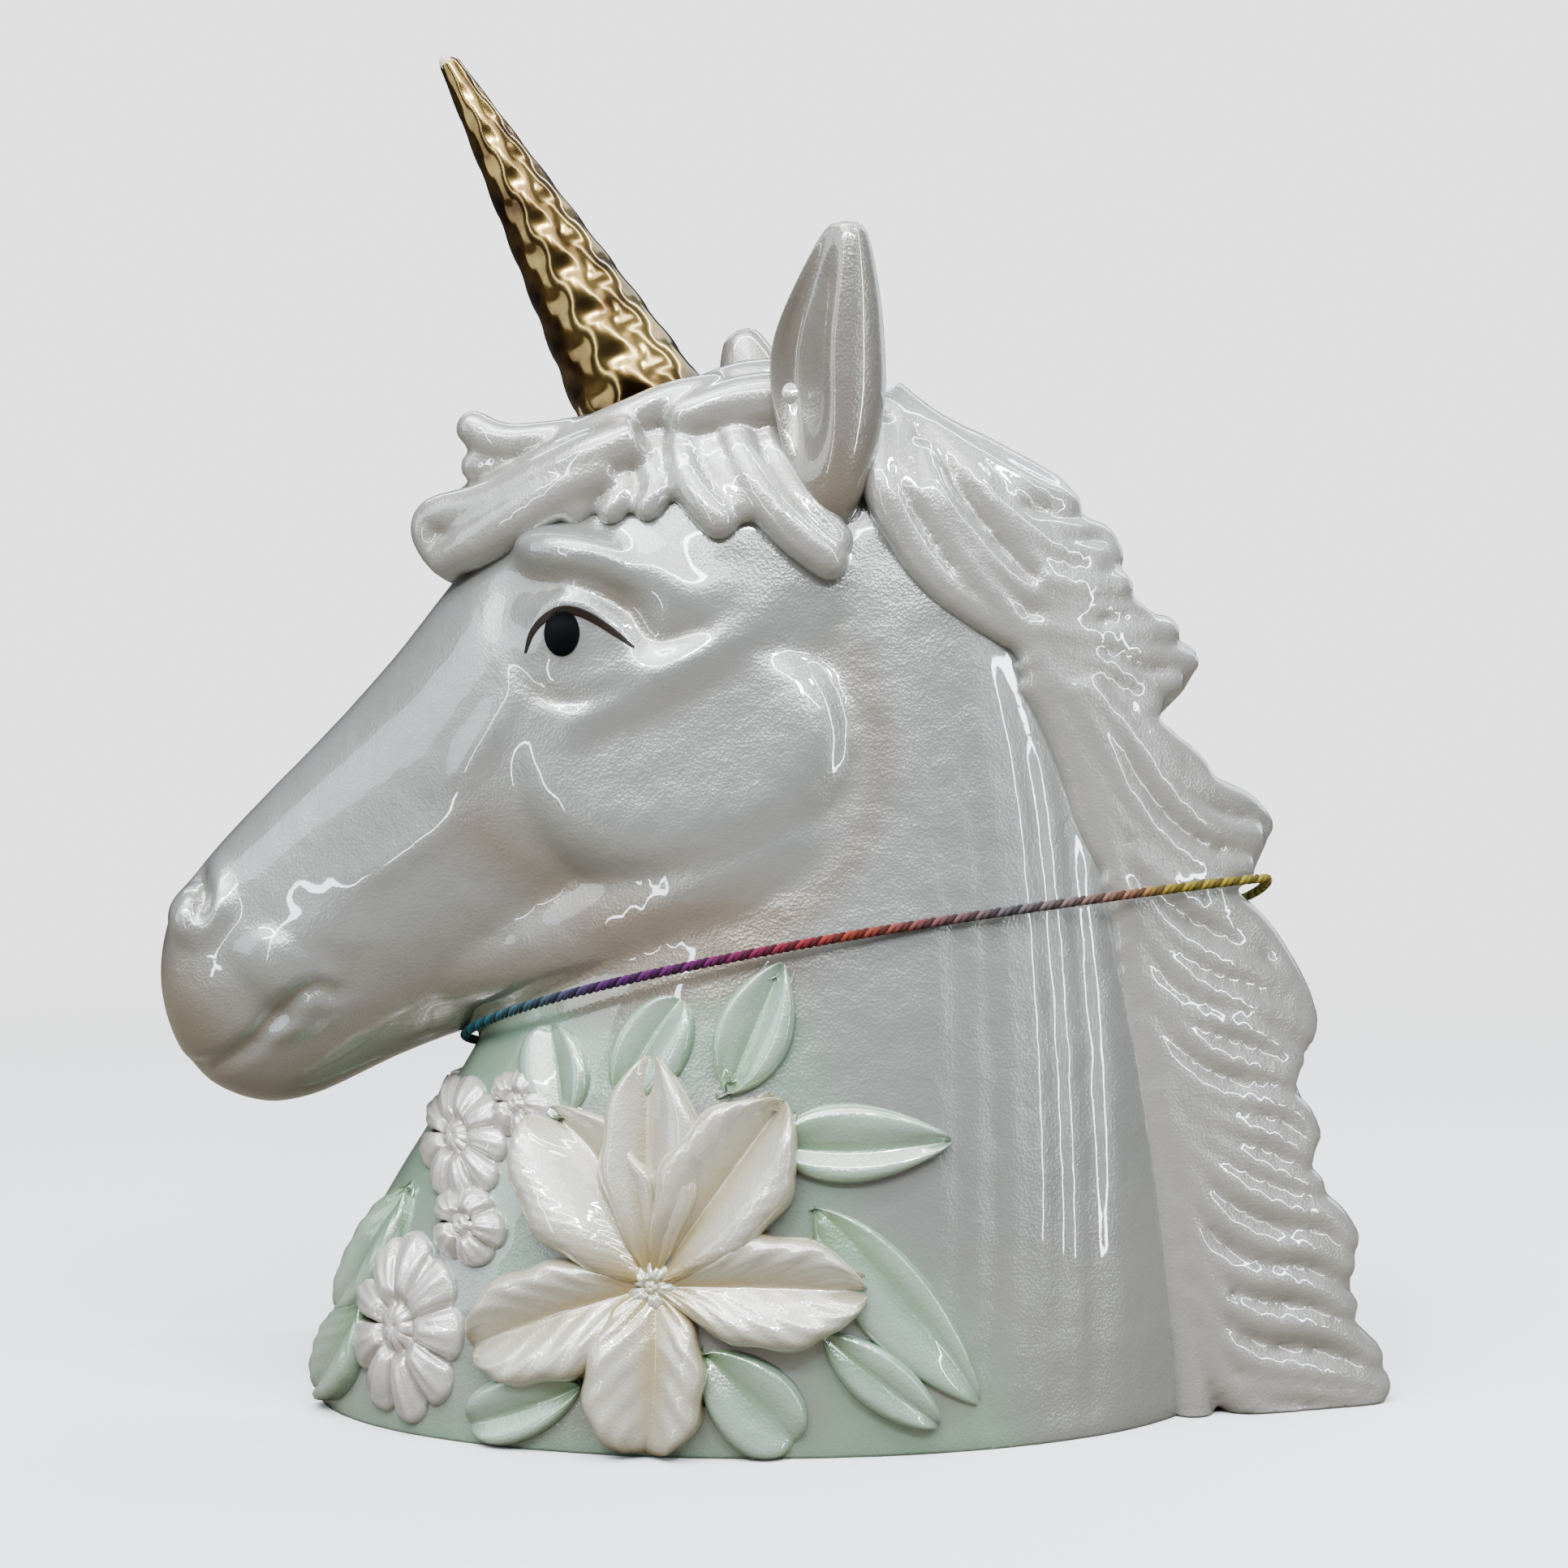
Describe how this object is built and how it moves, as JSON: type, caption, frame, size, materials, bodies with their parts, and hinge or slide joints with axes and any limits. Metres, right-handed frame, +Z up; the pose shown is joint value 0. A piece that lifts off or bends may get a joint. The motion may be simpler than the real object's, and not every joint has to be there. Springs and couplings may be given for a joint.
{
  "type": "unicorn bust coin bank",
  "caption": "Hollow glazed porcelain unicorn-head bust with a gilded horn, flower sprigs, yarn tied round its throat and a rubber plug in its foot.",
  "frame": {"origin": "on the resting plane, under the middle of the object's box", "axes": "+Z up, the unicorn faces -X, its left side faces -Y"},
  "size_m": [0.172, 0.0796, 0.1884],
  "materials": {
    "pearl_glaze": "glossy white porcelain glaze under a mother-of-pearl lustre",
    "cream_wash": "glossy glaze, cream with straw-yellow in the folds",
    "green_wash": "glossy glaze with a pale mint-green wash",
    "gold_lustre": "fired bright-gold lustre over glazed porcelain",
    "variegated_yarn": "thin twisted yarn, dyed in changing colours",
    "soft_rubber": "matt translucent white soft rubber"
  },
  "bodies": {
    "bust": {"bust_shell": "pearl_glaze", "forelock": "pearl_glaze", "horn": "gold_lustre", "left_blossom_high": "pearl_glaze", "left_blossom_middle": "pearl_glaze", "left_daisy_high": "pearl_glaze", "left_daisy_low": "pearl_glaze", "left_ear": "pearl_glaze", "left_leaf_foot_back": "green_wash", "left_leaf_foot_front": "green_wash", "left_leaf_front_high": "green_wash", "left_leaf_front_low": "green_wash", "left_leaf_side": "green_wash", "left_leaf_sweeping": "green_wash", "left_leaf_throat_back": "green_wash", "left_leaf_throat_front": "green_wash", "left_leaf_tongue": "green_wash", "left_leaf_upright": "green_wash", "left_lily_heart": "cream_wash", "left_lily_petal_1": "cream_wash", "left_lily_petal_2": "cream_wash", "left_lily_petal_3": "cream_wash", "left_lily_petal_4": "cream_wash", "left_lily_petal_5": "cream_wash", "left_lily_petal_6": "cream_wash", "mane": "pearl_glaze", "neck_yarn": "variegated_yarn", "right_blossom_high": "pearl_glaze", "right_blossom_middle": "pearl_glaze", "right_daisy_high": "pearl_glaze", "right_daisy_low": "pearl_glaze", "right_ear": "pearl_glaze", "right_leaf_foot_back": "green_wash", "right_leaf_foot_front": "green_wash", "right_leaf_front_high": "green_wash", "right_leaf_front_low": "green_wash", "right_leaf_side": "green_wash", "right_leaf_sweeping": "green_wash", "right_leaf_throat_back": "green_wash", "right_leaf_throat_front": "green_wash", "right_leaf_tongue": "green_wash", "right_leaf_upright": "green_wash", "right_lily_heart": "cream_wash", "right_lily_petal_1": "cream_wash", "right_lily_petal_2": "cream_wash", "right_lily_petal_3": "cream_wash", "right_lily_petal_4": "cream_wash", "right_lily_petal_5": "cream_wash", "right_lily_petal_6": "cream_wash", "yarn_knot": "variegated_yarn"},
    "plug": {"plug": "soft_rubber"}
  },
  "joints": [
    {"name": "plug_pull", "type": "slide", "parent": "bust", "child": "plug", "axis": [0, 0, -1], "range_m": [0, 0.02]}
  ]
}
